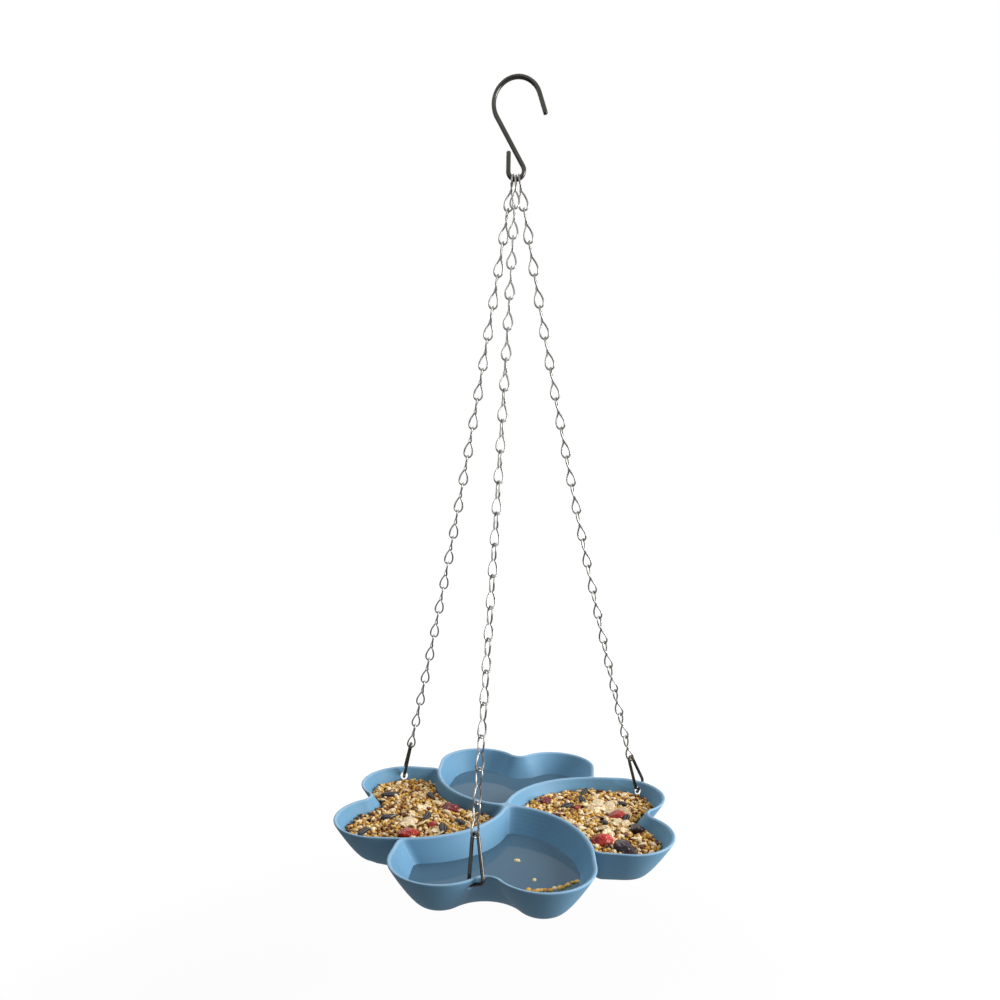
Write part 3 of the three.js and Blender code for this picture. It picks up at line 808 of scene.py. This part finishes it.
def inside(points, edge):
    """Whether points in plan lie inside a closed edge: an odd count of its sides lies to their right."""
    first = edge[None]
    last = np.roll(edge, -1, axis=0)[None]
    straddles = (first[..., 1] > points[:, 1:]) != (last[..., 1] > points[:, 1:])
    climb = last[..., 1] - first[..., 1]
    climb = np.where(np.abs(climb) < 1e-9, 1e-9, climb)
    crossing = first[..., 0] + (points[:, 1:] - first[..., 1]) / climb * (last[..., 0] - first[..., 0])
    return np.sum(straddles & (points[:, :1] < crossing), axis=1) % 2 == 1


def strewn(spacing, jitter, inset):
    """Points in plan on the seed: a staggered grid, each point moved at random, cut at the bowl's wall."""
    across = np.arange(BOWL_LEFT, BOWL_RIGHT, spacing)
    rows = np.stack(np.meshgrid(across, np.arange(BOWL_FRONT, 0, spacing * ROW_STAGGER)), axis=-1)
    rows[1::2, :, 0] += spacing / 2
    points = rows.reshape(-1, 2)
    points = points + seed_dice.normal(0, jitter, points.shape)
    return points[inside(points, wall_edge(SEED_LEVEL, inset))]


def on_heap(plan, lift):
    """Places on the seed at points in plan, raised by a lift."""
    return np.concatenate([plan, (heap_height(plan) + lift)[:, None]], axis=1)


def grain_shape(columns, rings, width):
    """A closed grain with its poles at x = 1 and -1. Ring t is cos t along x with the radius width(t).
    Gives the points, the faces and the share of the way round at each point."""
    t = np.linspace(0, pi, rings + 2)[1:-1]
    angle = np.arange(columns) * 2 * pi / columns
    around = width(t)[:, None, None] * np.stack([np.cos(angle), np.sin(angle)], axis=-1)
    along = np.broadcast_to(np.cos(t)[:, None, None], (rings, columns, 1))
    middle = np.concatenate([along, around], axis=-1).reshape(-1, 3)
    points = np.concatenate([[[1, 0, 0]], middle, [[-1, 0, 0]]])
    index = 1 + np.arange(rings * columns).reshape(rings, columns)
    ahead = np.roll(index, -1, axis=1)
    quads = np.stack([index[:-1], index[1:], ahead[1:], ahead[:-1]], axis=-1).reshape(-1, 4)
    near = np.stack([np.zeros(columns, dtype=int), index[0], ahead[0]], axis=-1)
    far = np.stack([np.full(columns, len(points) - 1), ahead[-1], index[-1]], axis=-1)
    turn = np.concatenate([[0], np.tile(angle / (2 * pi), rings), [0]])
    return points, (quads, np.concatenate([near, far])), turn


def laid_axes(count, tilt):
    """Each grain's axes along, across and up: a random heading, and an up leaning by about the tilt."""
    up = unit(np.insert(seed_dice.normal(0, tilt, (count, 2)), 2, 1, axis=1))
    heading = seed_dice.uniform(0, 2 * pi, count)
    along = square_to(up, np.stack([np.cos(heading), np.sin(heading), np.zeros(count)], axis=-1))
    return np.stack([along, np.cross(up, along), up], axis=1)


def grain_piece(name, shape, places, size, tilt, turn, finish, tints=None, lumps=0.0):
    """One piece of many like grains: shape * size turned to each grain's axes and set at its place, swollen
    by 1 + lumps * sin(4 p + phase). Each grain has a tint, and each point its share of the way round."""
    points, faces, around = shape
    count = len(places)
    phase = seed_dice.uniform(0, 2 * pi, (count, 1, 3))
    swell = 1 + lumps * np.sin(4 * np.roll(points, 1, axis=1) + phase)
    scale = np.asarray(size) * seed_dice.uniform(*GRAIN_SCALES, (count, 1))
    grains = (points * swell * scale[:, None]) @ laid_axes(count, tilt) + places[:, None]
    grains = grains.reshape(-1, 3) @ about_up(turn) * MM + [0, 0, RIM_HEIGHT]
    first = np.arange(count)[:, None, None] * len(points)
    sides = [(kind + first).reshape(-1, kind.shape[1]).tolist() for kind in faces]
    mesh = bpy.data.meshes.new(name)
    mesh.from_pydata(grains.tolist(), [], sides[0] + sides[1])
    tints = seed_dice.uniform(0, 1, count) if tints is None else np.asarray(tints, dtype=float)
    tint = mesh.attributes.new("tint", "FLOAT", "POINT")
    tint.data.foreach_set("value", np.repeat(tints, len(points)))
    way = mesh.attributes.new("way_round", "FLOAT", "POINT")
    way.data.foreach_set("value", np.tile(around, count))
    mesh.shade_smooth()
    mesh.materials.append(finish)
    piece = bpy.data.objects.new(name, mesh)
    bpy.context.scene.collection.objects.link(piece)
    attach(piece, "hanging")


def stored(place, name):
    """A value stored on the mesh under a name."""
    return place.node("ShaderNodeAttribute", {"attribute_name": name}, {}, 2)


millet_finish, millet_surface, millet_place = new_finish("millet_husk")
millet_tints = [(0.0, (0.04, 0.008, 0.005)), (0.15, (0.17, 0.045, 0.013)), (0.3, (0.40, 0.17, 0.025)),
                (0.65, (0.67, 0.40, 0.065)), (1.0, (0.80, 0.65, 0.36))]
millet_tint = stored(millet_place, "tint")
millet_husk = millet_tint.node("ShaderNodeValToRGB", {"stops": millet_tints}, {0: millet_tint})
millet_husk.into(millet_surface.inputs["Base Color"])
millet_surface.inputs["Roughness"].default_value = 0.38
millet_surface.inputs["Specular IOR Level"].default_value = 0.25
millet_shape = grain_shape(8, 3, np.sin)
for side, turn in SEED_TURNS.items():
    grains = strewn(MILLET_SPACING, MILLET_JITTER, MILLET_INSET)
    grains = on_heap(grains, seed_dice.uniform(*MILLET_LIFTS, len(grains)))
    grain_piece(f"{side}_millet", millet_shape, grains, MILLET_SIZE, MILLET_TILT, turn, millet_finish)
row_places = even_points(AFLOAT_ROW, ROW_GRAINS, False) + seed_dice.normal(0, ROW_JITTER, (ROW_GRAINS, 2))
afloat = np.concatenate([HALF_SUNK, np.insert(row_places, 2, -WATER_LEVEL, axis=1)])
stray_tints = np.concatenate([np.full(len(HALF_SUNK), PALE_TINT), seed_dice.uniform(0.4, 1, ROW_GRAINS)])
grain_piece("stray_millet", millet_shape, afloat, STRAY_SIZE, STRAY_TILT, QUARTERS[0], millet_finish,
            stray_tints)

# Oats: flakes rolled flat and pale, most of them lying this way and that on the middle of the mix, and
# plump hulled grains strewn all over it.
FLAKE_SIZE = np.array([4.9, 3.5, 0.5])
FLAKES = {"left": 18, "right": 44}
FLAKE_SPREAD = np.array([21, 16])
FLAKE_INSET = 6
FLAKE_LIFTS = (0.6, 1.8)
FLAKE_LUMPS = 0.14
OAT_TILT = 0.3
GROAT_SIZE = np.array([3.4, 1.7, 1.6])
GROAT_SPACING = 12.0
GROAT_JITTER = 2.4
GROAT_INSET = 3.0
GROAT_LIFT = 0.7
flake_finish, flake_surface, flake_place = new_finish("rolled_oat")
flake_grain = flake_place.noise(700.0, 3.0)
flake_shade = 0.4 * stored(flake_place, "tint") + 0.8 * flake_grain.ramp(0.3, 0.7)
flake_shade.mix((0.48, 0.31, 0.13), (0.88, 0.75, 0.52)).into(flake_surface.inputs["Base Color"])
flake_surface.inputs["Roughness"].default_value = 0.6
flake_surface.inputs["Specular IOR Level"].default_value = 0.2
flake_shape = grain_shape(14, 7, np.sin)
groat_shape = grain_shape(9, 5, np.sin)
for side, turn in SEED_TURNS.items():
    flakes = SEED_MIDDLE + seed_dice.normal(0, 1, (FLAKES[side], 2)) * FLAKE_SPREAD
    flakes = flakes[inside(flakes, wall_edge(SEED_LEVEL, FLAKE_INSET))]
    flakes = on_heap(flakes, seed_dice.uniform(*FLAKE_LIFTS, len(flakes)))
    grain_piece(f"{side}_oat_flakes", flake_shape, flakes, FLAKE_SIZE, OAT_TILT, turn, flake_finish,
                lumps=FLAKE_LUMPS)
    groats = on_heap(strewn(GROAT_SPACING, GROAT_JITTER, GROAT_INSET), GROAT_LIFT)
    grain_piece(f"{side}_oat_groats", groat_shape, groats, GROAT_SIZE, OAT_TILT, turn, flake_finish)

# Sunflower seeds: black striped hulls, pointed at one end, with dull grey lines along them. The few in
# each bowl lie nearly flat on top of the mix.
SUNFLOWER_SIZE = np.array([6.4, 3.5, 2.5])
SUNFLOWER_LIFT = 1.7
SUNFLOWER_TILT = 0.25
HULL_STRIPES = 8.0
SUNFLOWERS = {"left": [(-23, -64), (20, -87), (17, -59), (33, -43), (19, -33), (46, -99), (-22, -98)],
              "right": [(20, -47), (50, -60), (30, -90), (-7, -76), (36, -58), (2, -92)]}
hull_finish, hull_surface, hull_place = new_finish("striped_hull")
hull_way = stored(hull_place, "way_round")
stripes = hull_way.math("PINGPONG", hull_way * HULL_STRIPES, 0.5)
hull_shade = stripes.ramp(0.32, 0.46)
hull_shade.mix((0.012, 0.012, 0.014), (0.15, 0.14, 0.13)).into(hull_surface.inputs["Base Color"])
hull_surface.inputs["Roughness"].default_value = 0.4
hull_surface.inputs["Specular IOR Level"].default_value = 0.15


def hull_width(t):
    """Radius sin(t) * (0.80 - 0.24 cos t): broad near one end and pointed at the other."""
    return np.sin(t) * (0.80 - 0.24 * np.cos(t))


hull_shape = grain_shape(24, 10, hull_width)
for side, turn in SEED_TURNS.items():
    hulls = on_heap(np.array(SUNFLOWERS[side], dtype=float), SUNFLOWER_LIFT)
    grain_piece(f"{side}_sunflower_seeds", hull_shape, hulls, SUNFLOWER_SIZE, SUNFLOWER_TILT, turn,
                hull_finish)

# Dried berries: soft, glossy and wrinkled, red and nearly black ones, half sunk into the mix. A list
# gives the place in plan, the shade from 0 for red to 1 for black, and the size.
BERRY_SIZE = np.array([8.2, 6.2, 4.6])
BERRY_LIFT = 1.0
BERRY_TILT = 0.2
BERRY_LUMPS = 0.12
BERRIES = {"left": [(44, -66, 0.1, 1.0), (27, -52, 0.2, 0.45), (-2, -44, 0.6, 0.7)],
           "right": [(28, -29, 0.7, 0.65), (8, -86, 0.15, 1.0), (-33, -74, 0.0, 0.9),
                     (16, -55, 0.35, 0.38), (-13, -99, 1.0, 1.0), (-45, -89, 1.0, 1.05)]}
berry_finish, berry_surface, berry_place = new_finish("dried_berry")
berry_shade = stored(berry_place, "tint") + 0.3 * berry_place.noise(260.0, 2.0) - 0.15
berry_shade.mix((0.42, 0.028, 0.018), (0.018, 0.007, 0.012)).into(berry_surface.inputs["Base Color"])
berry_surface.inputs["Roughness"].default_value = 0.18
berry_surface.inputs["Specular IOR Level"].default_value = 0.35
wrinkles = berry_place.noise(190.0, 2.0)
wrinkle_sizes = {"Height": wrinkles, "Strength": 0.9, "Distance": 0.004}
wrinkles.node("ShaderNodeBump", {}, wrinkle_sizes).into(berry_surface.inputs["Normal"])
berry_shape = grain_shape(28, 14, np.sin)
for side, turn in SEED_TURNS.items():
    berries = np.array(BERRIES[side], dtype=float)
    places = on_heap(berries[:, :2], BERRY_LIFT)
    sizes = BERRY_SIZE * berries[:, 3:]
    shades = berries[:, 2]
    grain_piece(f"{side}_berries", berry_shape, places, sizes, BERRY_TILT, turn, berry_finish, shades,
                BERRY_LUMPS)

# Colours show as they are written.
bpy.context.scene.view_settings.view_transform = "Standard"
